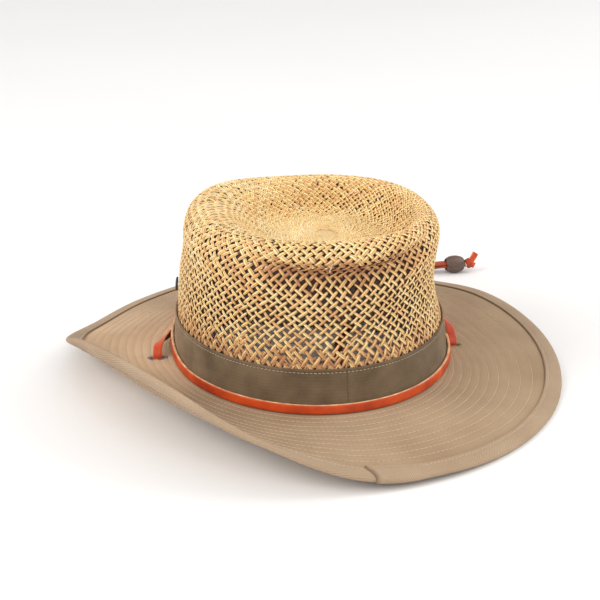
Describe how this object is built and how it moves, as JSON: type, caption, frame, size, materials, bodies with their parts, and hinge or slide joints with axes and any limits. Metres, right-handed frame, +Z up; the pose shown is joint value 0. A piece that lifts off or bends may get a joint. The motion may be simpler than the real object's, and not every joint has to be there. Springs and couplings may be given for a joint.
{
  "type": "safari hat",
  "caption": "Wide-brimmed hat with an open-weave straw crown, a canvas band and brim with a bound edge, and a flat leather lace that ends in a bead behind it.",
  "frame": {"origin": "on the floor the hat stands on, under the middle of the brim's outline", "axes": "+Z up, -Y to the front of the hat, +X to the wearer's left"},
  "size_m": [0.3342, 0.3596, 0.118],
  "materials": {
    "straw": "natural woven straw",
    "band_canvas": "matt canvas",
    "sweat_cloth": "matt cotton",
    "brim_canvas": "matt stitched canvas",
    "binding_twill": "matt twill",
    "lace_leather": "smooth dyed leather",
    "bead_wood": "dark satin",
    "stud_metal": "dark satin"
  },
  "bodies": {
    "root": {"crown_wall": "straw", "crown_top": "straw", "crown_band": "band_canvas", "sweatband": "sweat_cloth", "brim": "brim_canvas", "brim_binding": "binding_twill", "crown_lace": "lace_leather", "chin_lace_left": "lace_leather", "chin_lace_right": "lace_leather", "bead": "bead_wood", "lace_knot": "lace_leather", "side_stud": "stud_metal"}
  },
  "joints": []
}
